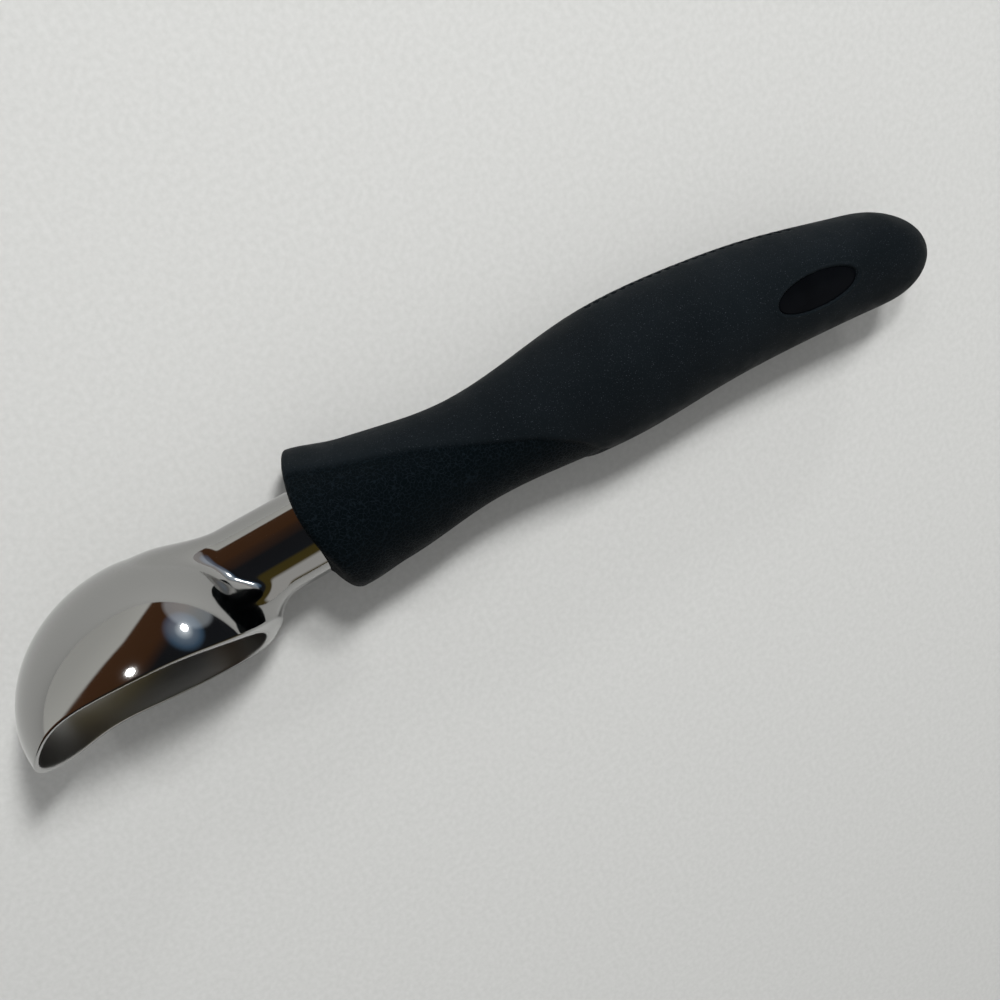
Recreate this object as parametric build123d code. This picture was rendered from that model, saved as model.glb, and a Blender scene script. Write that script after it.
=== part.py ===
from build123d import *
import math
import os

# Ice cream scoop with no moving parts: a polished metal head whose tang is moulded into a hard core,
# and a soft grip moulded over the core.
# It is drawn along its neck: X runs from the bowl to the butt of the handle, Z towards the back of
# the bowl and Y across, with X = 0 at the front face of the handle. At the end it is laid on its side.

# Bowl
BOWL_REACH = 36.5
BOWL_NOSE = 27.3
BOWL_HEEL = 22.3
BOWL_HALF_WIDTH = 22.4
BOWL_DEPTH = 24.5
RIM_BELOW_AXIS = 12.0
RIM_CREST_AHEAD = 9.0
RIM_ARCH_RADIUS = 190.0
RIM_WALL = 1.5
CROWN_WALL = 2.4
HEEL_WALL = 3.2

# Neck and tang
NECK_RADIUS = 8.7
SHOULDER_RADIUS = 6.0
NECK_SEAT_DEPTH = 2.0
TANG_RADIUS = 4.5
TANG_LENGTH = 80.0
TANG_GROOVES = 3
TANG_GROOVE_DEPTH = 0.9
TANG_GROOVE_WIDTH = 4.0
PIN_RADIUS = 2.0
PIN_COVER = 1.2

# Handle: the height, the width and the drop below the neck's axis at each station along it
FLARE_HEIGHT = 29.2
FLARE_WIDTH = 30.4
FLARE_DROP = -0.7
FLARE_ROUND = 3.0
COLLAR_AT = 15.0
COLLAR_HEIGHT = 27.4
COLLAR_WIDTH = 27.6
COLLAR_DROP = 0.9
WAIST_AT = 33.0
WAIST_HEIGHT = 22.9
WAIST_WIDTH = 23.2
WAIST_DROP = 1.75
BULGE_AT = 66.0
BULGE_HEIGHT = 28.5
BULGE_WIDTH = 27.2
BULGE_DROP = 1.65
PALM_AT = 89.5
PALM_HEIGHT = 27.5
PALM_WIDTH = 26.4
PALM_DROP = 2.05
TAIL_AT = 110.0
TAIL_HEIGHT = 25.0
TAIL_WIDTH = 24.6
TAIL_DROP = 4.05
BUTT_AT = 128.0
BUTT_HEIGHT = 21.8
BUTT_WIDTH = 21.6
BUTT_DROP = 7.1
DOME_LENGTH = 16.5
TIP_DROP = 10.0
DOME_ANGLES = (24.0, 44.0, 60.0, 72.0, 82.0)

# Grip, core and badge
GRIP_THICKNESS = 3.0
CORE_START = 4.0
BADGE_AT = 112.0
BADGE_LENGTH = 17.6
BADGE_HEIGHT = 8.8
BADGE_TURN = 30.0
BADGE_LEAN = 8.0
BADGE_RECESS = 0.5
BADGE_THICKNESS = 1.4

# Rest pose: how far the scoop is rolled about its neck and pitched to lie on its side
REST_ROLL = 118.2
REST_PITCH = 2.14


def half_ellipsoid(reach, half_width, height, side):
    """Half of an ellipsoid about the bowl's middle, with its seam away from the neck."""
    ball = scale(Rot(0, 0, 180) * Sphere(1.0), by=(reach, half_width, height))
    ball = Pos(-BOWL_REACH, 0, -RIM_BELOW_AXIS) * ball
    return split(ball, bisect_by=Plane.YZ.offset(-BOWL_REACH), keep=side)


def rod(start, end, radius):
    """Round bar on the neck's axis from one X to another."""
    return Pos((start + end) / 2, 0, 0) * Rot(0, 90, 0) * Cylinder(radius, end - start)


def rim_cutter():
    """Wide drum under the bowl whose top is the gently arched line of the rim."""
    drum = Rot(90, 0, 0) * Cylinder(RIM_ARCH_RADIUS, 4 * BOWL_HALF_WIDTH)
    return Pos(-BOWL_REACH - RIM_CREST_AHEAD, 0, -RIM_BELOW_AXIS - RIM_ARCH_RADIUS) * drum


def make_pin():
    """Cross pin at the waist, as long as the core is wide there less a cover at both ends."""
    length = WAIST_WIDTH - 2 * (GRIP_THICKNESS + PIN_COVER)
    return Pos(WAIST_AT, 0, 0) * Rot(90, 0, 0) * Cylinder(PIN_RADIUS, length)


def make_tang():
    """Grooved bar from the end of the neck into the core, with the grooves spread behind the pin."""
    tang = rod(CORE_START + NECK_SEAT_DEPTH, TANG_LENGTH, TANG_RADIUS)
    pitch = (TANG_LENGTH - WAIST_AT) / (TANG_GROOVES + 1)
    for number in range(TANG_GROOVES):
        start = WAIST_AT + pitch * (number + 1) - TANG_GROOVE_WIDTH / 2
        end = start + TANG_GROOVE_WIDTH
        tang = tang - (rod(start, end, TANG_RADIUS) - rod(start, end, TANG_RADIUS - TANG_GROOVE_DEPTH))
    return tang - make_pin()


def make_head():
    """Bowl, shoulders, neck and tang in one piece of polished metal."""
    hollow_half_width = BOWL_HALF_WIDTH - RIM_WALL
    hollow_depth = BOWL_DEPTH - CROWN_WALL
    heel = half_ellipsoid(BOWL_HEEL, BOWL_HALF_WIDTH, BOWL_DEPTH, Keep.TOP)
    heel = heel + rod(-BOWL_REACH + SHOULDER_RADIUS, CORE_START + NECK_SEAT_DEPTH, NECK_RADIUS)
    joint = [e for e in heel.edges() if e.geom_type == GeomType.BSPLINE and e.center().X > -BOWL_REACH + RIM_WALL]
    heel = heel.fillet(SHOULDER_RADIUS, joint)
    heel_hollow = half_ellipsoid(BOWL_HEEL - HEEL_WALL, hollow_half_width, hollow_depth, Keep.TOP)
    heel = heel - heel_hollow - rim_cutter()
    nose = half_ellipsoid(BOWL_NOSE, BOWL_HALF_WIDTH, BOWL_DEPTH, Keep.BOTTOM)
    nose_hollow = half_ellipsoid(BOWL_NOSE - RIM_WALL, hollow_half_width, hollow_depth, Keep.BOTTOM)
    nose = nose - nose_hollow - rim_cutter()
    return heel + nose + make_tang()


def section(at, height, width, drop, inset):
    """Oval section of the handle, square to its length."""
    plane = Plane(origin=(at, 0, -drop), x_dir=(0, 1, 0), z_dir=(1, 0, 0))
    return plane * Ellipse(width / 2 - inset, height / 2 - inset)


def handle_form(inset):
    """Smooth body through the handle's stations and its domed butt, drawn in by an inset."""
    stations = (
        (0.0, FLARE_HEIGHT, FLARE_WIDTH, FLARE_DROP),
        (COLLAR_AT, COLLAR_HEIGHT, COLLAR_WIDTH, COLLAR_DROP),
        (WAIST_AT, WAIST_HEIGHT, WAIST_WIDTH, WAIST_DROP),
        (BULGE_AT, BULGE_HEIGHT, BULGE_WIDTH, BULGE_DROP),
        (PALM_AT, PALM_HEIGHT, PALM_WIDTH, PALM_DROP),
        (TAIL_AT, TAIL_HEIGHT, TAIL_WIDTH, TAIL_DROP),
        (BUTT_AT, BUTT_HEIGHT, BUTT_WIDTH, BUTT_DROP),
    )
    sections = [section(*station, inset) for station in stations]
    dome = DOME_LENGTH - inset
    for angle in DOME_ANGLES:
        rise = math.sin(math.radians(angle))
        shrink = math.cos(math.radians(angle))
        drop = BUTT_DROP + (TIP_DROP - BUTT_DROP) * rise
        height = (BUTT_HEIGHT - 2 * inset) * shrink
        width = (BUTT_WIDTH - 2 * inset) * shrink
        sections.append(section(BUTT_AT + dome * rise, height, width, drop, 0.0))
    sections.append(Vertex(BUTT_AT + dome, 0, -TIP_DROP))
    return loft(sections)


def badge_prism():
    """Oval bar that points into the side of the handle where the badge sits, leaning with the tail."""
    outward = Vector(0, -math.cos(math.radians(BADGE_TURN)), -math.sin(math.radians(BADGE_TURN)))
    centre = Vector(BADGE_AT, 0, -TAIL_DROP)
    plane = Plane(origin=centre, x_dir=(1, 0, 0), z_dir=outward)
    oval = plane * Rot(0, 0, -BADGE_LEAN) * Ellipse(BADGE_LENGTH / 2, BADGE_HEIGHT / 2)
    return extrude(oval, amount=TAIL_WIDTH)


def make_badge_pocket():
    """Oval pocket through the skin of the grip down to the badge's underside."""
    return badge_prism() - handle_form(BADGE_RECESS + BADGE_THICKNESS)


def make_badge():
    """Oval plate that follows the handle's side, a little below its surface."""
    return make_badge_pocket() & handle_form(BADGE_RECESS)


def core_blank():
    """Hard inside of the handle before the head and the pin are cut from it."""
    return split(handle_form(GRIP_THICKNESS), bisect_by=Plane.YZ.offset(CORE_START), keep=Keep.TOP)


def make_grip():
    """Soft skin of the handle with a rounded front edge, the neck's hole and the badge's pocket."""
    outer = handle_form(0.0)
    outer = outer.fillet(FLARE_ROUND, [outer.edges().sort_by(Axis.X)[0]])
    neck = rod(-NECK_RADIUS, CORE_START + NECK_SEAT_DEPTH, NECK_RADIUS)
    return outer - core_blank() - neck - make_badge_pocket()


head = make_head()
pin = make_pin()
pieces = {
    "scoop_head": head,
    "soft_grip": make_grip(),
    "handle_core": core_blank() - head - pin,
    "tang_pin": pin,
    "badge_plate": make_badge(),
}
laid = {name: Rot(0, REST_PITCH, 0) * Rot(-REST_ROLL, 0, 0) * piece for name, piece in pieces.items()}
box = Compound(list(laid.values())).bounding_box()
to_origin = Pos(-box.center().X, -box.center().Y, -box.min.Z)

os.makedirs("parts", exist_ok=True)
for name, piece in laid.items():
    export_step(to_origin * piece, f"parts/{name}.step")
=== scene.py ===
# %% [markdown]
# # An ice cream scoop in Blender
# The scoop is a mirror-polished metal head held in a soft black handle. Nothing on it moves.
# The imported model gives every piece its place. Here the three pieces that are seen, the head, the soft
# grip and the badge, are made again as smooth numpy surfaces, because a mirror shows every facet and
# the grip carries a crease, a field of dimples and a pocket that are finer than the solids hold. The
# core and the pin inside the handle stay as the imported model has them.

from math import radians

import bpy
import numpy as np
from mathutils import Matrix, Vector


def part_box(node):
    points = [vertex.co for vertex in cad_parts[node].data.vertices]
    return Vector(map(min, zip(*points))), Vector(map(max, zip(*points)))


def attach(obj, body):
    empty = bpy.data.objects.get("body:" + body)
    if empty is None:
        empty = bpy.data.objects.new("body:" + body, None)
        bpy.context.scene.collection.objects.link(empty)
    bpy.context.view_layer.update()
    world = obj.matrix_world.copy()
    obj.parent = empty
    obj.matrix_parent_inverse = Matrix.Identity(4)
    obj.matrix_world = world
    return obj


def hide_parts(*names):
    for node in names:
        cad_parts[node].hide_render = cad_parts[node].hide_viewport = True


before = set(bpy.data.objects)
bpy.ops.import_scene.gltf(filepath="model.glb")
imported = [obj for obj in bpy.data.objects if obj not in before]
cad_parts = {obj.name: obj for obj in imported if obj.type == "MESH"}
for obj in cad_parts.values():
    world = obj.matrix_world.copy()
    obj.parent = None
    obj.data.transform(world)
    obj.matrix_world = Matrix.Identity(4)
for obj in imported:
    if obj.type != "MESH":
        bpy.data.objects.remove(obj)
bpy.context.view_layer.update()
MM = 0.001
print("CAD nodes:", sorted(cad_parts))

# %% [markdown]
# ## The scoop's own frame
# The scoop lies on its side, rolled and slightly pitched, so no part of it is square to the world.
# It is far easier to describe it along its neck: X from the bowl to the butt of the handle, Z to the
# back of the bowl, Y across, in millimetres, with X = 0 at the front face of the handle. One turn and
# one shift then lay the finished points down. The hidden cross pin tells where the frame lies.

# %% From the scoop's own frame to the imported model's
REST_ROLL = 118.2
REST_PITCH = 2.14
PIN_AT = 33.0

pitch = Matrix.Rotation(radians(REST_PITCH), 3, "Y")
TURN = np.array(pitch @ Matrix.Rotation(radians(-REST_ROLL), 3, "X"))
pin_middle = np.mean([np.array(corner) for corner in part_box("tang_pin")], axis=0)
SHIFT = pin_middle - TURN @ np.array([PIN_AT, 0.0, 0.0]) * MM


def lay_down(points):
    """Points along the neck, in millimetres, turned and shifted to their places in metres."""
    return points * MM @ TURN.T + SHIFT


print("front face of the handle lies at", lay_down(np.zeros((1, 3))).round(4))

# %% [markdown]
# ## From a grid of points to a mesh
# Each new piece is a closed shell made of rings: each row of the grid is one ring, and the first and the
# last row are closed by a fan to a point. Such a shell has no open edge and no seam. Faces are worked
# out as one index array, and the sign of the enclosed volume says whether they look outwards.

# %% Closed shell from rings
def ring_shell(name, rings, first_pole, last_pole, attributes):
    """Mesh through rings of equal length, closed by a fan of triangles to a pole at each end."""
    rows, columns = rings.shape[:2]
    points = np.concatenate([rings.reshape(-1, 3), [first_pole, last_pole]])
    here = np.arange(rows * columns).reshape(rows, columns)
    beside = np.roll(here, -1, axis=1)
    quads = np.stack([here[:-1], beside[:-1], beside[1:], here[1:]], axis=-1).reshape(-1, 4)
    start = np.stack([np.full(columns, rows * columns), beside[0], here[0]], axis=-1)
    end = np.stack([np.full(columns, rows * columns + 1), here[-1], beside[-1]], axis=-1)
    a, b, c, d = (points[quads[:, k]] for k in range(4))
    volume = np.einsum("ij,ij->", a, np.cross(b, c)) + np.einsum("ij,ij->", a, np.cross(c, d))
    if volume < 0:
        quads, start, end = quads[:, ::-1], start[:, ::-1], end[:, ::-1]
    mesh = bpy.data.meshes.new(name)
    mesh.from_pydata(lay_down(points).tolist(), [], quads.tolist() + start.tolist() + end.tolist())
    mesh.polygons.foreach_set("use_smooth", np.ones(len(mesh.polygons), bool))
    for title, values in attributes.items():
        layer = mesh.attributes.new(title, "FLOAT", "POINT")
        at_points = np.append(values.ravel(), (values[0, 0], values[-1, 0]))
        layer.data.foreach_set("value", at_points.astype(np.float32))
    mesh.update()
    piece = bpy.data.objects.new(name, mesh)
    bpy.context.scene.collection.objects.link(piece)
    print(name, "has", 2 * len(quads) + len(start) + len(end), "triangles")
    return piece


# %% [markdown]
# ## A spline to draw with
# The rim's edge and the handle are drawn like a draughtsman's curve: a few measured places and a smooth
# line through them. A natural cubic spline does this, and it is short enough to write out.

# %% Natural cubic spline
def cubic(knots, values, where):
    """Natural cubic spline: the curvatures at the knots solve one linear system, and each span is the
    straight line between its ends plus the two cubic terms that those curvatures add."""
    gap = np.diff(knots)
    slope = np.diff(values, axis=0) / gap[:, None]
    system = np.eye(len(knots))
    inner_knots = np.arange(1, len(knots) - 1)
    system[inner_knots, inner_knots - 1] = gap[:-1]
    system[inner_knots, inner_knots] = 2 * (gap[:-1] + gap[1:])
    system[inner_knots, inner_knots + 1] = gap[1:]
    right = np.zeros_like(values)
    right[1:-1] = 6 * np.diff(slope, axis=0)
    bend = np.linalg.solve(system, right)
    span = np.clip(np.searchsorted(knots, where) - 1, 0, len(gap) - 1)
    h = gap[span][:, None]
    a = (knots[span + 1] - where)[:, None] / h
    b = 1 - a
    lift = ((a ** 3 - a) * bend[span] + (b ** 3 - b) * bend[span + 1]) * h * h / 6
    return a * values[span] + b * values[span + 1] + lift


hump = np.array([[0.0], [1.0], [0.0]])
print("half way up a hump of 1 the spline stands at", cubic(np.arange(3.0), hump, np.array([0.5])).item())

# %% [markdown]
# ## The head: a bowl that flows into its neck
# The real head is one casting: an egg-shaped bowl, rounded shoulders and a solid round neck. Joining a
# ball and a bar with a boolean would leave a hard line that a mirror finish shows at once. So the shape
# is described by a field instead: negative inside, positive outside. An egg field and a neck field are
# joined with a round fillet, and the skin is where the result is zero.

# %% The field of the head
BOWL_MIDDLE = np.array([-36.5, 0.0, -12.0])
NOSE, HEEL, HALF_WIDTH, DEPTH = 27.3, 22.3, 22.4, 24.5
PLAN_FULLNESS, NECK_FULLNESS = 2.05, 2.6
RIM_WALL, HEEL_WALL, CROWN_WALL = 1.1, 3.2, 2.4
NECK_RADIUS, NECK_START, NECK_END = 8.7, -36.0, 5.9
BACK_SHOULDER, UNDER_SHOULDER, SIDE_SHOULDER = 6.0, 7.0, 2.2
BACK_FROM, UNDER_FROM, SHOULDERS_AT = 1.0, 2.5, 8.7
CROWN_FROM, CROWN_TO = -40.0, -26.0
TINY = 1e-9


def egg_field(points, nose, heel, half_width, depth):
    """Distance outside an egg, measured along the line to its middle: that line less the line over k,
    where k is how many times larger the egg must be to reach the point."""
    x, y, z = np.moveaxis(points - BOWL_MIDDLE, -1, 0)
    reach = np.where(x > 0, heel, nose)
    plan = np.abs(x / reach) ** PLAN_FULLNESS + np.abs(y / half_width) ** PLAN_FULLNESS
    k = np.sqrt(plan ** (2 / PLAN_FULLNESS) + (z / depth) ** 2) + TINY
    line = np.sqrt(x * x + y * y + z * z)
    return line - line / k


def neck_field(points):
    """Distance outside a bar on the X axis that starts inside the bowl. Its section is a circle that is
    filled out a little towards a square."""
    x, y, z = np.moveaxis(points, -1, 0)
    spoke = (np.abs(y) ** NECK_FULLNESS + np.abs(z) ** NECK_FULLNESS) ** (1 / NECK_FULLNESS)
    return np.maximum(spoke - NECK_RADIUS, NECK_START - x)


def smooth_step(value):
    """0 below 0, 1 above 1, and a smooth rise between."""
    t = np.clip(value, 0, 1)
    return t * t * (3 - 2 * t)


def outside_field(points):
    """Egg and neck joined with a fillet: the larger of the radius and the nearer distance, less the
    length of the two amounts by which the distances fall short of the radius. The radius is large at
    the back and the underside of the neck and small at its sides, and fades out over the crown."""
    x, z = points[..., 0], points[..., 2]
    full = np.where(z > 0, BACK_SHOULDER, UNDER_SHOULDER)
    start = np.where(z > 0, BACK_FROM, UNDER_FROM)
    share = smooth_step((np.abs(z) - start) / (SHOULDERS_AT - start))
    on_crown = smooth_step((x - CROWN_FROM) / (CROWN_TO - CROWN_FROM))
    radius = (SIDE_SHOULDER + (full - SIDE_SHOULDER) * share) * on_crown
    egg = egg_field(points, NOSE, HEEL, HALF_WIDTH, DEPTH)
    neck = neck_field(points)
    short = np.hypot(np.maximum(radius - egg, 0), np.maximum(radius - neck, 0))
    joined = np.maximum(radius, np.minimum(egg, neck)) - short
    return np.maximum(joined, points[..., 0] - NECK_END)


def inside_field(points):
    """The hollow of the bowl: a smaller egg, further in at the heel than at the rim."""
    return egg_field(points, NOSE - RIM_WALL, HEEL - HEEL_WALL, HALF_WIDTH - RIM_WALL, DEPTH - CROWN_WALL)


print("bowl", round(NOSE + HEEL, 1), "mm long and", 2 * HALF_WIDTH, "mm wide outside")

# %% [markdown]
# ## Marching out to the skin
# A point inside the bowl, near the neck's axis, sees every part of the skin. From there a ray goes out
# for each bearing round the bowl and each height angle, and halving an interval forty times finds where
# the field changes sign. Bearings are closest together towards the neck, where the skin is busiest.
# The lowest row is the rim, a line that dips at the nose and rises at the heel.

# %% Rows of the head
EYE = np.array([-34.0, 0.0, -4.0])
RIM_LINE = np.array([
    (-68.0, -17.1), (-64.0, -15.2), (-60.0, -13.8), (-56.0, -12.35), (-50.0, -11.55), (-44.0, -11.8),
    (-36.0, -12.35), (-28.0, -13.0), (-21.0, -13.55), (-17.0, -13.2), (-13.5, -12.3), (-9.0, -11.5),
    (0.0, -11.2), (12.0, -11.2),
])
RIM_ROUND = 0.35
BEARINGS, OUTER_ROWS, INNER_ROWS, LIP_ROWS = 340, 165, 60, 9
NECK_CROWDING, RIM_CROWDING = 0.72, 1.15
HALVINGS, RIM_FAR, SKIN_FAR = 40, 60.0, 70.0

turns = np.linspace(-np.pi, np.pi, BEARINGS, endpoint=False)
bearing = turns - NECK_CROWDING * np.sin(turns)


def first_zero(field_along, far):
    """How far along each ray the field turns positive, by halving the interval forty times."""
    low, high = np.zeros_like(far), far
    for _ in range(HALVINGS):
        middle = (low + high) / 2
        inside = field_along(middle) < 0
        low, high = np.where(inside, middle, low), np.where(inside, high, middle)
    return low


def rim_height(x):
    """Height of the rim's edge: a spline through its measured places along the bowl."""
    return cubic(RIM_LINE[:, 0], RIM_LINE[:, 1:], x)[:, 0]


def rim_edge(field):
    """Where a field's skin meets the rim, once for each bearing, a lip's rounding above the edge."""
    def place(reach):
        x = EYE[0] + reach * np.cos(bearing)
        return np.stack([x, reach * np.sin(bearing), rim_height(x) + RIM_ROUND], axis=-1)
    return place(first_zero(lambda reach: field(place(reach)), np.full(BEARINGS, RIM_FAR)))


def skin_rows(field, count):
    """Rings from the rim up to just under the crown: for each ring the height angle goes a step further
    from the rim's own angle towards straight up, and each ray stops at the skin."""
    edge = rim_edge(field)
    lowest = np.arctan2(edge[:, 2] - EYE[2], np.hypot(edge[:, 0] - EYE[0], edge[:, 1]))
    share = np.linspace(0, 1, count + 1)[1:-1, None] ** RIM_CROWDING
    height = lowest + (np.pi / 2 - lowest) * share
    level = np.cos(height)
    ray = np.stack([level * np.cos(bearing), level * np.sin(bearing), np.sin(height)], axis=-1)
    reach = first_zero(lambda far: field(EYE + far[..., None] * ray), np.full(height.shape, SKIN_FAR))
    return np.concatenate([edge[None], EYE + reach[..., None] * ray])


def crown(field):
    """The point of the skin straight above the eye."""
    straight_up = np.array([0.0, 0.0, 1.0])
    reach = first_zero(lambda far: field(EYE + far[..., None] * straight_up), np.array([SKIN_FAR]))
    return EYE + reach[0] * straight_up


outer = skin_rows(outside_field, OUTER_ROWS)
inner = skin_rows(inside_field, INNER_ROWS)
print("rim from", outer[0, :, 2].min().round(2), "to", outer[0, :, 2].max().round(2), "mm")

# %% [markdown]
# ## The lip of the rim
# The real rim is a thin wall whose edge is rounded over, so that it draws one bright line. A bevel would
# need a clean loop of edges. Here a half turn, squared a little, carries the lowest ring of the outside
# over to the lowest ring of the hollow, and an attribute says which points belong to the hollow.

# %% Lip and finished head
LIP_FULLNESS = 0.7
swing = np.linspace(0, np.pi, LIP_ROWS + 2)[1:-1, None, None]
across = np.sign(np.cos(swing)) * np.abs(np.cos(swing)) ** LIP_FULLNESS
below = np.array([0, 0, RIM_ROUND]) * np.sin(swing) ** LIP_FULLNESS
lip = (outer[0] + inner[0]) / 2 + (outer[0] - inner[0]) / 2 * across - below
head_rows = np.concatenate([outer[::-1], lip, inner])
row_share = np.concatenate([np.zeros(OUTER_ROWS), np.linspace(0, 1, LIP_ROWS), np.ones(INNER_ROWS)])
hollow = np.repeat(row_share, BEARINGS).reshape(-1, BEARINGS)
poles = crown(outside_field), crown(inside_field)
head = ring_shell("scoop_head_polished", head_rows, *poles, {"hollow": hollow})
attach(head, "root")
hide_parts("scoop_head")

# %% [markdown]
# ## The grip: ovals along a curved line
# The handle is a run of ovals: a flared front, a slim waist, a palm swell and a drooping rounded butt.
# Each station gives the oval's height, width and drop below the neck's line, and a smooth cubic curve
# runs through the stations, as a draughtsman's spline does. The butt's dome follows a quarter turn.

# %% Stations of the handle and the spline through them
STATIONS = np.array([
    (0.0, 29.2, 30.4, -0.7),
    (15.0, 27.4, 27.6, 0.9),
    (33.0, 22.9, 23.2, 1.75),
    (66.0, 28.5, 27.2, 1.65),
    (89.5, 27.5, 26.4, 2.05),
    (110.0, 25.0, 24.6, 4.05),
    (128.0, 21.8, 21.6, 7.1),
])
HANDLE_LENGTH, TIP_DROP = 144.5, 10.0
DOME_ANGLES = np.array([24.0, 44.0, 60.0, 72.0, 82.0, 90.0])


def dome_stations(angles):
    """Ovals of the butt: X goes with the sine of the angle, the size with its cosine."""
    at, height, width, drop = STATIONS[-1]
    rise, shrink = np.sin(np.radians(angles)), np.cos(np.radians(angles))
    reach = at + (HANDLE_LENGTH - at) * rise
    return np.stack([reach, height * shrink, width * shrink, drop + (TIP_DROP - drop) * rise], axis=-1)


stations = np.concatenate([STATIONS, dome_stations(DOME_ANGLES)])
steps = np.hypot(np.diff(stations[:, 0]), np.diff(stations[:, 1]) / 2)
run = np.concatenate([[0.0], np.cumsum(steps)])
print("the handle's upper line is", round(run[-1], 1), "mm long")

# %% [markdown]
# ## Where the grid is fine
# The dimples are under a millimetre across and the badge's pocket has a sharp edge, while the rest of
# the grip is smooth. Instead of making the whole grid fine, a density says how close rows and columns
# should be, and the running sum of the density, read backwards, gives their places.

# %% Rows along the handle and columns round it
FLARE_ROUND = 1.1
DIMPLE_FROM, DIMPLE_TO = 69.0, 117.0
BADGE_AT, BADGE_LENGTH, BADGE_HEIGHT, BADGE_TURN, BADGE_LEAN = 112.0, 19.1, 7.3, 31.0, 5.0
ROWS, COLUMNS, FINE_STEPS = 390, 190, 4000
FINE_MARGIN, FINE_PAST_BADGE, MORE_ROWS = 2.0, 0.6, 2.2
TIP_SPAN, MORE_AT_TIP, TIP_GAP, LEAST_HALF = 12.0, 1.0, 0.12, 0.02
BACK_SPAN, MORE_AT_BACK, BADGE_SPAN, MORE_AT_BADGE = 36.0, 3.0, 26.0, 2.4


def spread(start, end, count, density):
    """Places from start to end, closer where the density is higher."""
    fine = np.linspace(start, end, FINE_STEPS)
    total = np.concatenate([[0.0], np.cumsum(density(fine[1:]))])
    return np.interp(np.linspace(0, total[-1], count), total, fine)


def row_density(at):
    """Three times as many rows where the dimples and the badge are, and more at the tip."""
    fine_end = BADGE_AT + BADGE_LENGTH * FINE_PAST_BADGE
    fine = (at > DIMPLE_FROM - FINE_MARGIN) & (at < fine_end)
    return 1 + MORE_ROWS * fine + MORE_AT_TIP * (at > run[-1] - TIP_SPAN)


def from_back(angle):
    """Angle from the back of the handle, from -180 to 180 degrees."""
    return (angle + 180) % 360 - 180


def column_density(angle):
    """More columns over the dimples on the back and over the badge on the near side."""
    to_back = np.abs(from_back(angle))
    to_badge = np.abs(angle - 90 - BADGE_TURN)
    return 1 + MORE_AT_BACK * (to_back < BACK_SPAN) + MORE_AT_BADGE * (to_badge < BADGE_SPAN)


row_at = spread(FLARE_ROUND, run[-1] - TIP_GAP, ROWS, row_density)
angle = spread(0.0, 360.0, COLUMNS + 1, column_density)[:-1]
sine, cosine = np.sin(np.radians(angle)), np.cos(np.radians(angle))


def ovals(where, inset):
    """Rings of the handle's form: at each place along it an oval with its sides drawn in by the inset.
    Column angles start at the back of the handle and turn towards the badge's side."""
    at, height, width, drop = cubic(run, stations, where).T[:, :, None]
    y = -np.maximum(width / 2 - inset, LEAST_HALF) * sine
    z = np.maximum(height / 2 - inset, LEAST_HALF) * cosine - drop
    return np.stack([np.broadcast_to(at, y.shape), y, z], axis=-1)


form = ovals(row_at, 0.0)
print("grip rows", ROWS, "columns", COLUMNS, "reach", form[..., 0].max().round(2))

# %% [markdown]
# ## Relief of the grip
# Three things are moulded into the soft skin. A shallow panel with a leather-like grain covers the
# underside of the front part, with a soft crease as its edge. A field of small staggered dimples lies on
# the back of the palm swell. An oval pocket holds the badge. They could be sculpted, but each is regular
# enough to be a height in millimetres as a function of the place on the form.

# %% Heights of the relief
CREASE = np.array([
    (-5.0, 38.0), (2.7, 34.0), (13.4, 24.0), (23.1, 15.0), (31.0, 1.0), (38.9, -17.0), (46.3, -33.0),
    (54.0, -58.0), (60.0, -92.0),
])
PANEL_DEPTH, CREASE_SOFT = 0.45, 5.0
DIMPLE_PITCH, DIMPLE_ROW, DIMPLE_WIDE, DIMPLE_DEEP, PATCH_HALF = 2.1, 1.75, 0.55, 0.7, 5.6
POCKET_DEEP, POCKET_EDGE, POCKET_SOFT = 1.9, 1.03, 0.05
LIP_HIGH, LIP_AT, LIP_WIDE = 0.2, 1.10, 0.05
BADGE_DROP, OTHER_SIDE = STATIONS[-2, 3], 9.0


def panel_share(points):
    """1 on the grained panel and 0 off it: how far the place lies below the crease, in degrees round
    the handle, over the softness of the crease."""
    above_side = np.broadcast_to(90 - np.abs(from_back(angle)), points.shape[:2])
    edge = np.interp(points[..., 0], CREASE[:, 0], CREASE[:, 1])
    return smooth_step((edge - above_side) / CREASE_SOFT + 0.5)


def dimples(points, arc):
    """Round pits on a staggered lattice: the distance to the nearest lattice point goes into a bell
    curve of the fourth power, and points outside the patch have no pit."""
    row = np.round(arc / DIMPLE_ROW)
    stagger = (row % 2) * DIMPLE_PITCH / 2
    along = points[..., 0] - DIMPLE_FROM - stagger
    number = np.round(along / DIMPLE_PITCH)
    away = np.hypot(along - number * DIMPLE_PITCH, arc - row * DIMPLE_ROW)
    centre = DIMPLE_FROM + stagger + number * DIMPLE_PITCH
    in_patch = (centre > DIMPLE_FROM) & (centre < DIMPLE_TO) & (np.abs(row * DIMPLE_ROW) < PATCH_HALF)
    return np.where(in_patch, np.exp(-(away / DIMPLE_WIDE) ** 4), 0.0)


def badge_oval(points):
    """Size of the oval through each place, as a share of the badge's own, seen along the badge's axis;
    large on the other side of the handle."""
    turn, lean = np.radians(BADGE_TURN), np.radians(BADGE_LEAN)
    out = -points[..., 1] * np.cos(turn) - (points[..., 2] + BADGE_DROP) * np.sin(turn)
    rise = -points[..., 1] * np.sin(turn) + (points[..., 2] + BADGE_DROP) * np.cos(turn)
    ahead = points[..., 0] - BADGE_AT
    along = ahead * np.cos(lean) - rise * np.sin(lean)
    across = ahead * np.sin(lean) + rise * np.cos(lean)
    oval = np.hypot(along / (BADGE_LENGTH / 2), across / (BADGE_HEIGHT / 2))
    return np.where(out > 0, oval, OTHER_SIDE)


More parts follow.
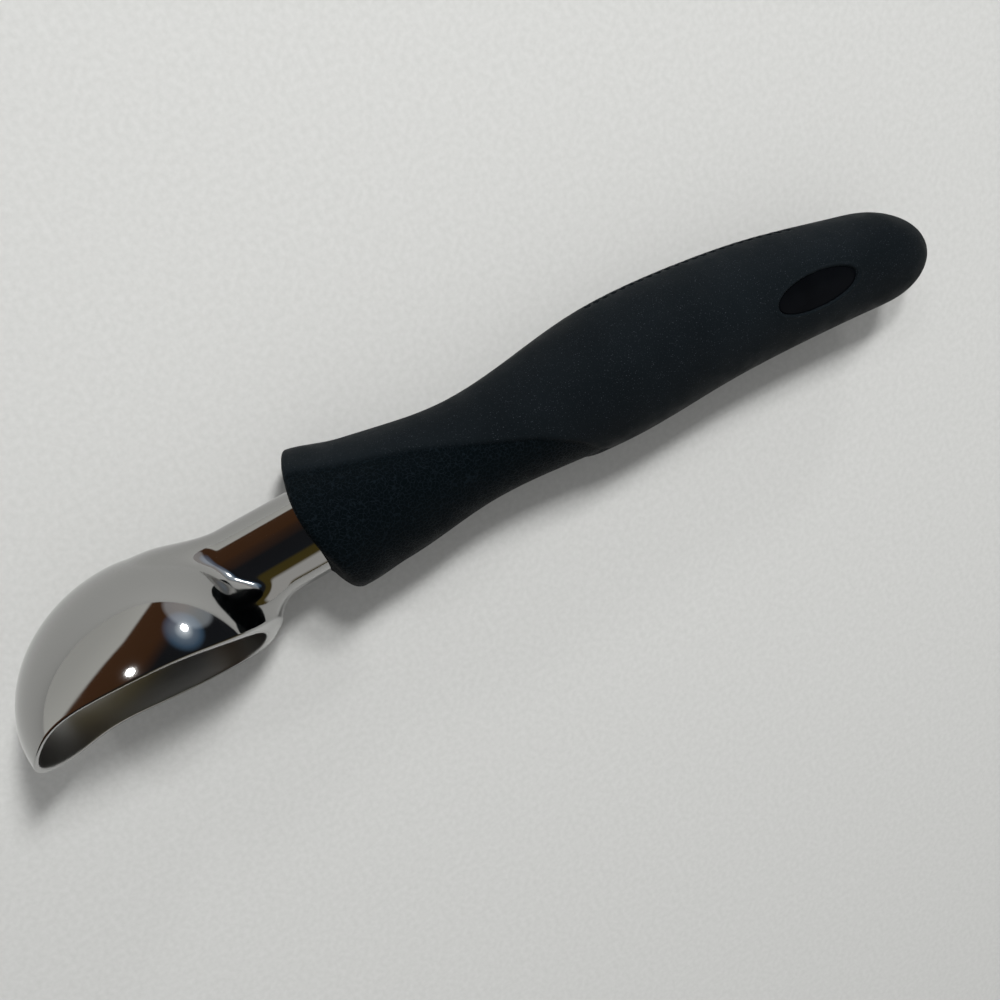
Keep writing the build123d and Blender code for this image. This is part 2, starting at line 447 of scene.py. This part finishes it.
def normals_of(rings):
    """Outward unit normals: the cross product of the steps along the rows and round the rings."""
    round_step = np.roll(rings, -1, axis=1) - np.roll(rings, 1, axis=1)
    normal = np.cross(round_step, np.gradient(rings, axis=0))
    return normal / np.linalg.norm(normal, axis=-1, keepdims=True)


print("panel", PANEL_DEPTH, "dimples", DIMPLE_DEEP, "and the badge's pocket", POCKET_DEEP, "mm deep")

# %% [markdown]
# ## The front edge of the flare
# The soft front edge is not a flat ring. It is bowed, its back and its underside curl out a little, and
# its rounding is larger underneath. The bow is added to the finished skin, so the relief follows it.

# %% Bow of the front edge
FRONT_BOW, FRONT_LEAN, FRONT_AHEAD, BOW_REACH = 1.525, 0.55, 1.2, 14.0
BACK_CURL, UNDER_CURL, UNDER_ROUND = 1.2, 1.1, 1.6
front_round = FLARE_ROUND + UNDER_ROUND * np.maximum(-cosine, 0)


def bowed(rings):
    """The front edge is not quite flat: seen from the side its middle stands ahead of its back and its
    underside, by a bow that goes with the cosine of twice the column's angle and fades along the handle.
    The back and the underside also curl out a little at the very front."""
    bow = FRONT_BOW * (1 + np.cos(np.radians(2 * angle))) + FRONT_LEAN * cosine - FRONT_AHEAD
    at_front = 1 - smooth_step(rings[..., 0] / BOW_REACH)
    curl = BACK_CURL * np.maximum(cosine, 0) ** 2 - UNDER_CURL * np.maximum(-cosine, 0) ** 2
    moved = rings.copy()
    moved[..., 0] += (bow + front_round - FLARE_ROUND) * at_front
    moved[..., 2] += curl * at_front
    return moved


print("front edge rounded by", front_round.min().round(2), "to", front_round.max().round(2), "mm")

# %% [markdown]
# ## Laying the relief on the form
# A displace modifier would need a texture for each of the heights. They are already arrays on the grid,
# so they are added up, and each point of the form moves along its normal by the sum.

# %% Relief laid on the form
spokes = np.linalg.norm(form - form.mean(axis=1, keepdims=True), axis=-1)
back_arc = np.radians(from_back(angle)) * spokes
panel = panel_share(form)
pits = dimples(form, back_arc)
oval = badge_oval(form)
pocket = smooth_step((POCKET_EDGE - oval) / POCKET_SOFT)
lip_ring = np.exp(-((oval - LIP_AT) / LIP_WIDE) ** 2)
height = -PANEL_DEPTH * panel - DIMPLE_DEEP * pits - POCKET_DEEP * pocket + LIP_HIGH * lip_ring
skin = bowed(form + normals_of(form) * height[..., None])
print("relief from", height.min().round(2), "to", height.max().round(2), "mm")

# %% [markdown]
# ## Front, socket and inside of the grip
# The grip is a skin, not a lump, so the same rings go on round the rounded front edge, across the front
# face, into the hole for the neck, and back along the inside wall over the hard core.

# %% Rings of the front and the inside
GRIP_THICKNESS, CORE_START, SOCKET_RADIUS = 3.0, 4.0, 8.75
FACE_BACK, INNER_GAP = 0.6, 0.5
EDGE_ROWS, FACE_ROWS, SOCKET_ROWS, INSIDE_FRONT_ROWS, INSIDE_ROWS = 9, 8, 4, 3, 40
EDGE_FROM, EDGE_TO = 90, 6
edge_turn = np.radians(np.linspace(EDGE_FROM, EDGE_TO, EDGE_ROWS))
front = skin[0]
front_middle = front.mean(axis=0)


def drawn_in(ring, middle, amount):
    """A ring made smaller towards its middle, square to the handle, by an amount in millimetres."""
    spoke = (ring - middle) * np.array([0.0, 1.0, 1.0])
    length = np.linalg.norm(spoke, axis=-1, keepdims=True)
    return ring - spoke * amount[:, None] / length


def edge_row(turn):
    """One ring of the rounded front edge: drawn in by the cosine's share of the rounding and moved ahead
    by the sine's."""
    ahead = front_round[:, None] * np.array([np.sin(turn), 0, 0])
    return drawn_in(front, front_middle, front_round * (1 - np.cos(turn))) - ahead


ALONG = np.array([1.0, 0.0, 0.0])
edge_rows = np.stack([edge_row(turn) for turn in edge_turn])
round_socket = SOCKET_RADIUS * np.stack([np.zeros(COLUMNS), -sine, cosine], axis=-1)
socket_ring = round_socket - FACE_BACK * ALONG
face_share = np.linspace(0, 1, FACE_ROWS + 1)[:-1, None, None]
face_rows = socket_ring + (edge_rows[0] - socket_ring) * face_share
socket_rows = socket_ring + ALONG * np.linspace(CORE_START, FACE_BACK, SOCKET_ROWS)[:, None, None]
inside_wall = ovals(np.linspace(CORE_START, run[-1] - INNER_GAP, INSIDE_ROWS), GRIP_THICKNESS)
inside_wall[..., 0] = np.minimum(inside_wall[..., 0], HANDLE_LENGTH - GRIP_THICKNESS)
front_share = np.linspace(0, 1, INSIDE_FRONT_ROWS + 2)[1:-1, None, None]
inside_front = inside_wall[0] + (socket_rows[0] - inside_wall[0]) * front_share
print("rings of the front", len(face_rows) + len(edge_rows), "and of the inside", len(inside_wall))

# %% [markdown]
# ## Closing the grip
# From the inside of the butt to its outside the rings now follow each other without a break. Two
# attributes go with them for the material: where the grained panel is, and where a dimple is.

# %% Finished grip
rings = np.concatenate([inside_wall[::-1], inside_front, socket_rows, face_rows, edge_rows, skin])
front_rows = EDGE_ROWS + FACE_ROWS + 1
grained = np.zeros(rings.shape[:2])
grained[-ROWS:] = panel
grained[-ROWS - front_rows:-ROWS] = panel[0]
pitted = np.zeros(rings.shape[:2])
pitted[-ROWS:] = pits
tip = np.array([HANDLE_LENGTH, 0.0, -TIP_DROP])
inner_tip = tip - GRIP_THICKNESS * ALONG
grip = ring_shell("soft_grip_skin", rings, inner_tip, tip, {"grained": grained, "pitted": pitted})
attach(grip, "root")
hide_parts("soft_grip")

# %% [markdown]
# ## The badge
# The real badge is a smooth oval plate set a little below the skin of the handle. It follows the curve
# of the handle's side, so each of its points is found on a line along the badge's axis, where that line
# leaves the handle's form drawn in by a small inset. Rings of growing ovals make its face, and the same
# rings deeper down make its underside.

# %% Badge plate
BADGE_RECESS, BADGE_UNDER, BADGE_FAR = 0.5, 1.7, 40.0
FACE_RINGS, UNDER_RINGS, BADGE_COLUMNS, TABLE_ROWS = 16, 8, 96, 3000
SMALLEST, SIDE_SHARE, SIDE_STEP = 0.06, 1.01, 0.2
form_table = cubic(run, stations, np.linspace(0, run[-1], TABLE_ROWS))


def under_badge(along, across, inset):
    """Points of the drawn-in form seen along the badge's axis: the line leaves an oval where the squares
    of its two shares of the oval's half sizes add up to one."""
    turn, lean = np.radians(BADGE_TURN), np.radians(BADGE_LEAN)
    ahead = along * np.cos(lean) + across * np.sin(lean)
    rise = across * np.cos(lean) - along * np.sin(lean)
    x = BADGE_AT + ahead
    high, wide, low = (np.interp(x, form_table[:, 0], form_table[:, k]) for k in (1, 2, 3))

    def place(reach):
        y = -rise * np.sin(turn) - reach * np.cos(turn)
        z = rise * np.cos(turn) - BADGE_DROP - reach * np.sin(turn)
        return np.stack([x, y, z], axis=-1)

    def oval_field(reach):
        points = place(reach)
        across_share = points[..., 1] / (wide / 2 - inset)
        return np.hypot(across_share, (points[..., 2] + low) / (high / 2 - inset)) - 1

    return place(first_zero(oval_field, np.full(x.shape, BADGE_FAR)))


face_shares = np.linspace(SMALLEST, 1.0, FACE_RINGS)
under_shares = np.linspace(1.0, SMALLEST, UNDER_RINGS)
ring_shares = np.concatenate([face_shares, [SIDE_SHARE, SIDE_SHARE], under_shares])[:, None]
sides = [BADGE_RECESS + SIDE_STEP, BADGE_UNDER - SIDE_STEP]
insets = np.concatenate([np.full(FACE_RINGS, BADGE_RECESS), sides, np.full(UNDER_RINGS, BADGE_UNDER)])
badge_turns = np.linspace(0, 2 * np.pi, BADGE_COLUMNS, endpoint=False)
badge_along = ring_shares * BADGE_LENGTH / 2 * np.cos(badge_turns)
badge_across = ring_shares * BADGE_HEIGHT / 2 * np.sin(badge_turns)
badge_rows = under_badge(badge_along, badge_across, insets[:, None])
face_middle, under_middle = badge_rows[0].mean(axis=0), badge_rows[-1].mean(axis=0)
badge = ring_shell("badge_face", badge_rows, face_middle, under_middle, {})
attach(badge, "root")
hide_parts("badge_plate")

# %% [markdown]
# ## Materials
# Every finish is a small node tree on Object coordinates, so a pattern keeps its real size whatever the
# shape of the piece. Such trees could be wired by hand in the shader editor. Here short helpers add one
# node each, so that a finish reads as a list of what its surface shows. All colours are red, green, blue
# and an alpha of one, because that is what a colour socket takes.

# %% Helpers for node trees
def new_material(name):
    """A new material with its node tree and the tree's shader."""
    material = bpy.data.materials.new(name)
    material.use_nodes = True
    return material, material.node_tree, material.node_tree.nodes["Principled BSDF"]


def dress(piece, material):
    """Give a piece one material."""
    piece.data.materials.clear()
    piece.data.materials.append(material)
    print(piece.name, "wears", material.name, "with", len(material.node_tree.nodes), "nodes")


def grey(value):
    """A grey as a colour."""
    return (value, value, value, 1)


def feed(tree, socket, value):
    """Link another node's output to a socket, or set the socket to a number or a colour."""
    if isinstance(value, bpy.types.NodeSocket):
        tree.links.new(value, socket)
    else:
        socket.default_value = value


def object_place(tree):
    """Object coordinates."""
    return tree.nodes.new("ShaderNodeTexCoord").outputs["Object"]


def attribute(tree, name):
    """An attribute of the mesh, from 0 to 1."""
    node = tree.nodes.new("ShaderNodeAttribute")
    node.attribute_name = name
    return node.outputs["Fac"]


# %% [markdown]
# ## Nodes that make and mix patterns
# Noise gives a value that wanders from place to place, a ramp turns a value into colours, and a bump
# turns it into a tilt of the surface. A bump costs no faces, which is right for pores and hairlines. A
# Mix node has sockets for numbers, vectors and colours under the same names, so those for colours are
# taken by number.

# %% Helpers for patterns
COLOUR_A, COLOUR_B, COLOUR_OUT = 6, 7, 2


def noise(tree, vector, waves, detail, output="Fac"):
    """Noise texture of so many waves per metre."""
    node = tree.nodes.new("ShaderNodeTexNoise")
    node.inputs["Scale"].default_value = waves
    node.inputs["Detail"].default_value = detail
    tree.links.new(vector, node.inputs["Vector"])
    return node.outputs[output]


def ramp(tree, value, low, high, dark, light):
    """Value from low to high read as a mix from one colour to another."""
    node = tree.nodes.new("ShaderNodeValToRGB")
    first, last = node.color_ramp.elements
    first.position, first.color = low, dark
    last.position, last.color = high, light
    tree.links.new(value, node.inputs["Fac"])
    return node.outputs["Color"]


def blend(tree, share, under, over, how="MIX"):
    """One colour over another by a share. Each is a constant or another node's output."""
    node = tree.nodes.new("ShaderNodeMix")
    node.data_type, node.blend_type = "RGBA", how
    feed(tree, node.inputs["Factor"], share)
    feed(tree, node.inputs[COLOUR_A], under)
    feed(tree, node.inputs[COLOUR_B], over)
    return node.outputs[COLOUR_OUT]


def arithmetic(tree, operation, *values):
    """Math node on constants and other nodes' outputs."""
    node = tree.nodes.new("ShaderNodeMath")
    node.operation = operation
    for socket, value in zip(node.inputs, values):
        feed(tree, socket, value)
    return node.outputs["Value"]


def bump(tree, value, distance, strength, under=None):
    """Bump of a height in metres, laid over another bump if one is given."""
    node = tree.nodes.new("ShaderNodeBump")
    node.inputs["Distance"].default_value = distance
    node.inputs["Strength"].default_value = strength
    tree.links.new(value, node.inputs["Height"])
    if under is not None:
        tree.links.new(under, node.inputs["Normal"])
    return node.outputs["Normal"]


# %% [markdown]
# ## Polished metal
# The head is cast, ground and buffed to a mirror, and its hollow is left satin. One even roughness would
# look computed, so a soft noise makes some places a little rougher, as a wiped surface is, and a noise
# that is stretched along the neck lays hairlines over it. The "hollow" attribute adds the satin.

# %% Polished metal
METAL = (0.36, 0.358, 0.351, 1)
MIRROR_ROUGH, SMUDGE_ROUGH, SATIN_ROUGH = 0.035, 0.11, 0.25
HAIR_STRETCH = (0.08, 1.0, 1.0)


def polished_metal():
    """Mirror metal with faint smudges in its roughness and hairline scratches along the neck. The hollow
    of the bowl is only satin."""
    material, tree, shader = new_material("polished_metal")
    place = object_place(tree)
    shader.inputs["Base Color"].default_value = METAL
    shader.inputs["Metallic"].default_value = 1.0
    wiped = noise(tree, place, waves=90, detail=5)
    smudge = ramp(tree, wiped, low=0.35, high=0.75, dark=grey(MIRROR_ROUGH), light=grey(SMUDGE_ROUGH))
    rough = arithmetic(tree, "MULTIPLY_ADD", attribute(tree, "hollow"), SATIN_ROUGH, smudge)
    tree.links.new(rough, shader.inputs["Roughness"])
    stretch = tree.nodes.new("ShaderNodeMapping")
    stretch.inputs["Scale"].default_value = HAIR_STRETCH
    tree.links.new(place, stretch.inputs["Vector"])
    hair = noise(tree, stretch.outputs["Vector"], waves=2500, detail=2)
    tree.links.new(bump(tree, hair, distance=0.00002, strength=0.04), shader.inputs["Normal"])
    return material


dress(head, polished_metal())

# %% [markdown]
# ## Soft rubber
# The handle is a soft-touch rubber, nearly black and almost without gloss, so its specular level is low.
# Fine dust sits on the smooth skin. On the panel a leather grain is moulded in. The panel is painted
# darker than the skin, as painted shade, and the grain's ridges are painted paler than its hollows, as
# painted glints. The dimples are painted darker too, as painted shade. A cell texture gives the grain,
# because its cell edges form a net, and a noise bends the edges first. The "grained" and "pitted"
# attributes say where panel and dimples are.

# %% Soft rubber
BLACK, WHITE = grey(0), grey(1)
SKIN_DARK, SKIN_LIGHT = (0.0044, 0.0066, 0.0082, 1), (0.0068, 0.0098, 0.0121, 1)
# The panel's base colour is painted shade: it is darker than the skin.
PAINTED_PANEL_SHADE, PAINTED_RIDGE_GLINT = (0.0012, 0.0028, 0.0038, 1), (0.0050, 0.0086, 0.0116, 1)
# The pit colour is painted shade in the dimples.
PAINTED_PIT_SHADE, DUST = (0.0020, 0.0030, 0.0040, 1), (0.050, 0.056, 0.066, 1)
RUBBER_SHINE, LEAST_ROUGH, MOST_ROUGH = 0.05, 0.50, 0.68
GRAIN_CELLS, GRAIN_RIDGE, GRAIN_BEND = 1250, 0.12, (0.0012, 0.0012, 0.0012)


def leather_ridges(tree, place):
    """1 on the edges between small cells and 0 inside them: the distance to the nearest edge, read by a
    ramp. The place is first moved by a noise times a short length."""
    bent = tree.nodes.new("ShaderNodeVectorMath")
    bent.operation = "MULTIPLY_ADD"
    bent.inputs[1].default_value = GRAIN_BEND
    tree.links.new(noise(tree, place, waves=700, detail=2, output="Color"), bent.inputs[0])
    tree.links.new(place, bent.inputs[2])
    cells = tree.nodes.new("ShaderNodeTexVoronoi")
    cells.feature = "DISTANCE_TO_EDGE"
    cells.inputs["Scale"].default_value = GRAIN_CELLS
    tree.links.new(bent.outputs["Vector"], cells.inputs["Vector"])
    return ramp(tree, cells.outputs["Distance"], low=0.0, high=GRAIN_RIDGE, dark=WHITE, light=BLACK)


def soft_rubber():
    """Near-black rubber: pores and dust everywhere, and a deeper leather grain where the panel is. The
    panel and the dimples are painted darker, as painted shade, and the grain's ridges paler, as painted
    glints.
    """
    material, tree, shader = new_material("soft_rubber")
    place, on_panel = object_place(tree), attribute(tree, "grained")
    cloud = noise(tree, place, waves=60, detail=4)
    base = ramp(tree, cloud, low=0.3, high=0.75, dark=SKIN_DARK, light=SKIN_LIGHT)
    fleck = noise(tree, place, waves=4600, detail=2)
    speck = ramp(tree, fleck, low=0.64, high=0.76, dark=BLACK, light=WHITE)
    ridge = leather_ridges(tree, place)
    # Panel colour: painted shade in the hollows and painted glints on the ridges.
    painted_panel = blend(tree, ridge, PAINTED_PANEL_SHADE, PAINTED_RIDGE_GLINT)
    panel_or_skin = blend(tree, on_panel, blend(tree, speck, base, DUST), painted_panel)
    # Painted shade darkens the dimples.
    shaded = blend(tree, attribute(tree, "pitted"), panel_or_skin, PAINTED_PIT_SHADE)
    tree.links.new(shaded, shader.inputs["Base Color"])
    wear = noise(tree, place, waves=240, detail=3)
    rough = ramp(tree, wear, low=0.3, high=0.7, dark=grey(LEAST_ROUGH), light=grey(MOST_ROUGH))
    tree.links.new(rough, shader.inputs["Roughness"])
    shader.inputs["Specular IOR Level"].default_value = RUBBER_SHINE
    pores = bump(tree, noise(tree, place, waves=3200, detail=2), distance=0.00008, strength=0.35)
    grain = arithmetic(tree, "MULTIPLY", ridge, on_panel)
    skin_normal = bump(tree, grain, distance=0.00025, strength=0.6, under=pores)
    tree.links.new(skin_normal, shader.inputs["Normal"])
    return material


dress(grip, soft_rubber())

# %% [markdown]
# ## Hidden pieces and the badge
# The core is moulded plastic and the pin is drawn steel. Neither shows, but the exported model can be
# opened, so they get a finish too. The badge is a smooth dark plate. One recipe serves all three: a
# colour, a roughness and a fine bump, each of which wanders a little.

# %% Hidden pieces and the badge
LIGHTEST, SMOOTHEST, ROUGHEST = 1.5, 0.8, 1.2
WEAR_FINER, PORES_FINER = 3, 12


def plain_finish(name, colour, metal, rough, waves, shine=0.5):
    """A moulded or ground finish: a base colour that wanders a little, and a fine bump."""
    material, tree, shader = new_material(name)
    place = object_place(tree)
    lighter = tuple(min(1.0, LIGHTEST * part) for part in colour)
    cloud = noise(tree, place, waves, detail=4)
    shades = ramp(tree, cloud, low=0.35, high=0.7, dark=colour, light=lighter)
    wear = noise(tree, place, waves * WEAR_FINER, detail=3)
    smooth, dull = grey(rough * SMOOTHEST), grey(rough * ROUGHEST)
    roughness = ramp(tree, wear, low=0.3, high=0.7, dark=smooth, light=dull)
    pores = bump(tree, noise(tree, place, waves * PORES_FINER, detail=2), distance=0.00004, strength=0.2)
    for title, output in (("Base Color", shades), ("Roughness", roughness), ("Normal", pores)):
        tree.links.new(output, shader.inputs[title])
    shader.inputs["Metallic"].default_value = metal
    shader.inputs["Specular IOR Level"].default_value = shine
    return material


core_plastic = plain_finish("core_plastic", (0.05, 0.05, 0.055, 1), metal=0.0, rough=0.5, waves=200)
pin_steel = plain_finish("pin_steel", (0.5, 0.5, 0.5, 1), metal=1.0, rough=0.3, waves=400)
badge_gloss = plain_finish("badge_gloss", (0.0020, 0.0024, 0.0032, 1), 0.0, 0.3, 150, shine=0.03)
dress(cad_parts["handle_core"], core_plastic)
dress(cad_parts["tang_pin"], pin_steel)
dress(badge, badge_gloss)

# %% [markdown]
# ## The floor
# The scoop lies on a plain pale floor that carries its shadow. The floor is a disc and not a large
# square, because the bowl mirrors all of it: a round edge at half a metre leaves no corner in the mirror.

# %% Floor
FLOOR_RADIUS, FLOOR_SIDES = 0.55, 180
FLOOR_DARK, FLOOR_LIGHT = (0.585, 0.588, 0.571, 1), (0.632, 0.634, 0.618, 1)


def floor_finish():
    """Pale felt: a warm grey that wanders a little."""
    material, tree, shader = new_material("floor_felt")
    fibres = noise(tree, object_place(tree), waves=800, detail=9)
    shades = ramp(tree, fibres, low=0.32, high=0.68, dark=FLOOR_DARK, light=FLOOR_LIGHT)
    tree.links.new(shades, shader.inputs["Base Color"])
    shader.inputs["Roughness"].default_value = 0.9
    shader.inputs["Specular IOR Level"].default_value = 0.1
    return material


around = np.linspace(0, 2 * np.pi, FLOOR_SIDES, endpoint=False)
floor_edge = FLOOR_RADIUS * np.stack([np.cos(around), np.sin(around), np.zeros(FLOOR_SIDES)], axis=1)
floor_mesh = bpy.data.meshes.new("floor")
floor_mesh.from_pydata(floor_edge.tolist(), [], [list(range(FLOOR_SIDES))])
floor = bpy.data.objects.new("floor", floor_mesh)
bpy.context.scene.collection.objects.link(floor)
dress(floor, floor_finish())

# %% [markdown]
# ## What the mirror sees
# The room is pale for everything except reflections. Polished metal looks like metal only when it has
# dark things to reflect, so for glossy rays the room changes along one direction: pale low down beside
# the back of the bowl, then brown, then dark overhead, and pale again behind. A sill and a pane add two
# soft glows. An image of a room would do this too, but a few tones are easier to change.

# %% Tones of the room
ROOM_AXIS = (-0.482, 0.744, -0.463)
ROOM_TONES = [
    (0.00, (0.62, 0.61, 0.59)),
    (0.09, (0.62, 0.61, 0.59)),
    (0.13, (0.096, 0.072, 0.019)),
    (0.25, (0.087, 0.067, 0.018)),
    (0.30, (0.018, 0.020, 0.024)),
    (0.53, (0.016, 0.017, 0.020)),
    (0.62, (0.087, 0.039, 0.018)),
    (0.785, (0.102, 0.047, 0.023)),
    (0.800, (0.78, 0.78, 0.74)),
    (0.90, (0.68, 0.68, 0.65)),
    (1.00, (0.64, 0.64, 0.61)),
]
TOWARDS_SILL, SILL_COSINE = (0.695, 0.719, 0.0), 0.92
SILL_TONES = [
    (0.00, (0.0, 0.0, 0.0)),
    (0.25, (0.0, 0.0, 0.0)),
    (0.50, (0.34, 0.37, 0.40)),
    (1.00, (0.42, 0.44, 0.45)),
]
TOWARDS_PANE, PANE_COSINE = (0.620, 0.689, 0.375), 0.95
PANE_TONES = [
    (0.00, (0.0, 0.0, 0.0)),
    (0.40, (0.06, 0.12, 0.20)),
    (0.80, (0.20, 0.27, 0.36)),
    (1.00, (0.80, 0.90, 1.00)),
]


def tones_towards(tree, direction, least, tones):
    """A colour ramp read by the cosine of the angle to a direction, from the least cosine to one."""
    towards = tree.nodes.new("ShaderNodeVectorMath")
    towards.operation = "DOT_PRODUCT"
    towards.inputs[1].default_value = direction
    tree.links.new(tree.nodes.new("ShaderNodeTexCoord").outputs["Generated"], towards.inputs[0])
    share = tree.nodes.new("ShaderNodeMapRange")
    share.inputs["From Min"].default_value = least
    tree.links.new(towards.outputs["Value"], share.inputs["Value"])
    scale = tree.nodes.new("ShaderNodeValToRGB")
    for place, _ in tones[1:-1]:
        scale.color_ramp.elements.new(place)
    for element, (place, colour) in zip(scale.color_ramp.elements, tones):
        element.position, element.color = place, (*colour, 1)
    tree.links.new(share.outputs["Result"], scale.inputs["Fac"])
    return scale.outputs["Color"]


print("tones of the room", len(ROOM_TONES), "of the sill", len(SILL_TONES), "of the pane", len(PANE_TONES))

# %% [markdown]
# ## One world for three kinds of rays
# A world can tell by the kind of ray who is looking. Light that falls on the scoop comes from a plain
# grey, the mirror sees the tones above, and the camera sees a pale backdrop.

# %% Room
ROOM_LIGHT, ROOM_STRENGTH = grey(0.80), 0.42
BACKDROP = (0.62, 0.62, 0.60, 1)


def make_room():
    """World that is plain for light, pale for the camera, and for glossy rays the room and its panes."""
    room = bpy.data.worlds.new("soft_room")
    room.use_nodes = True
    tree = room.node_tree
    plain = tree.nodes["Background"]
    plain.inputs["Color"].default_value = ROOM_LIGHT
    plain.inputs["Strength"].default_value = ROOM_STRENGTH
    seen = tones_towards(tree, ROOM_AXIS, -1.0, ROOM_TONES)
    seen = blend(tree, 1.0, seen, tones_towards(tree, TOWARDS_SILL, SILL_COSINE, SILL_TONES), "ADD")
    seen = blend(tree, 1.0, seen, tones_towards(tree, TOWARDS_PANE, PANE_COSINE, PANE_TONES), "ADD")
    mirrored = tree.nodes.new("ShaderNodeBackground")
    tree.links.new(seen, mirrored.inputs["Color"])
    backdrop = tree.nodes.new("ShaderNodeBackground")
    backdrop.inputs["Color"].default_value = BACKDROP
    ray = tree.nodes.new("ShaderNodeLightPath")
    shown = plain
    for kind, view in (("Is Glossy Ray", mirrored), ("Is Camera Ray", backdrop)):
        either = tree.nodes.new("ShaderNodeMixShader")
        tree.links.new(ray.outputs[kind], either.inputs["Fac"])
        tree.links.new(shown.outputs[0], either.inputs[1])
        tree.links.new(view.outputs[0], either.inputs[2])
        shown = either
    tree.links.new(shown.outputs[0], tree.nodes["World Output"].inputs["Surface"])
    return room


bpy.context.scene.world = make_room()
print("room made of", len(bpy.context.scene.world.node_tree.nodes), "nodes")

# %% [markdown]
# ## Lamps
# Two lamps close to the scoop give it its shadows. A lamp so near would burn a bright spot into the
# floor, so their light does not fade with distance. Two small discs further away barely light the scoop:
# they are there for the mirror, where each is one bright point on the bowl.

# %% Lamps
def hang(name, data, place):
    """A lamp's object at a place, in metres."""
    lamp = bpy.data.objects.new(name, data)
    lamp.location = place
    bpy.context.scene.collection.objects.link(lamp)
    print(name, "hangs", round(Vector(place).length, 2), "m away")
    return lamp


def near_lamp(name, place, radius, power):
    """Round lamp close to the scoop whose light does not fade with distance, so that the floor stays
    even. It lights surfaces but is seen neither by the camera nor in the mirror."""
    data = bpy.data.lights.new(name, "POINT")
    data.shadow_soft_size, data.energy = radius, power
    data.use_nodes = True
    nodes, links = data.node_tree.nodes, data.node_tree.links
    falloff = nodes.new("ShaderNodeLightFalloff")
    falloff.inputs["Strength"].default_value = 1.0
    links.new(falloff.outputs["Constant"], nodes["Emission"].inputs["Strength"])
    lamp = hang(name, data, place)
    lamp.visible_glossy = lamp.visible_camera = False


def bright_disc(name, place, size, power):
    """Round flat lamp at a place, turned to the scoop, in metres and watts."""
    data = bpy.data.lights.new(name, "AREA")
    data.shape = "DISK"
    data.size, data.energy = size, power
    hang(name, data, place).rotation_euler = (-Vector(place)).to_track_quat("-Z", "Y").to_euler()


near_lamp("key_lamp", (0.035, 0.16, 0.27), radius=0.018, power=16.6)
near_lamp("side_lamp", (0.18, 0.325, 0.445), radius=0.04, power=15.7)
bright_disc("near_pane", (-0.332, 0.781, 0.849), size=0.09, power=1.0)
bright_disc("far_pane", (0.68, 0.83, 0.43), size=0.11, power=1.2)

# %% [markdown]
# ## Camera
# The photograph was taken from close above, about 20 cm away, so the nearer parts look larger. The
# camera's place, its aim and its roll were fitted to the outlines in the photograph. They are given
# along the scoop's neck like everything else, and laid down with the same turn.

# %% Camera
CAMERA_AT = np.array([0.0, -194.8, -41.4])
CAMERA_AIM = np.array([35.0, 0.0, -13.4])
CAMERA_ROLL = 31.43
SENSOR_WIDTH, LENS, CLIP_START = 36.0, 36.0, 0.005

look = (CAMERA_AIM - CAMERA_AT) / np.linalg.norm(CAMERA_AIM - CAMERA_AT)
level = np.cross(look, [0, 0, 1.0])
level /= np.linalg.norm(level)
upright = np.cross(level, look)
roll = radians(CAMERA_ROLL)
right = np.cos(roll) * level - np.sin(roll) * upright
up = np.sin(roll) * level + np.cos(roll) * upright
axes = TURN @ np.stack([right, up, -look], axis=1)
camera_data = bpy.data.cameras.new("camera")
camera_data.sensor_width, camera_data.lens = SENSOR_WIDTH, LENS
camera_data.clip_start = CLIP_START
camera = bpy.data.objects.new("camera", camera_data)
camera.matrix_world = Matrix.Translation(lay_down(CAMERA_AT)) @ Matrix(axes.tolist()).to_4x4()
bpy.context.scene.collection.objects.link(camera)
bpy.context.scene.camera = camera
bpy.context.scene.view_settings.view_transform = "Standard"
print("camera at", [round(v, 3) for v in camera.location])

# %% [markdown]
# ## Up to date
# The view layer is brought up to date, so that every piece stands in its place.

# %% Up to date
bpy.context.view_layer.update()
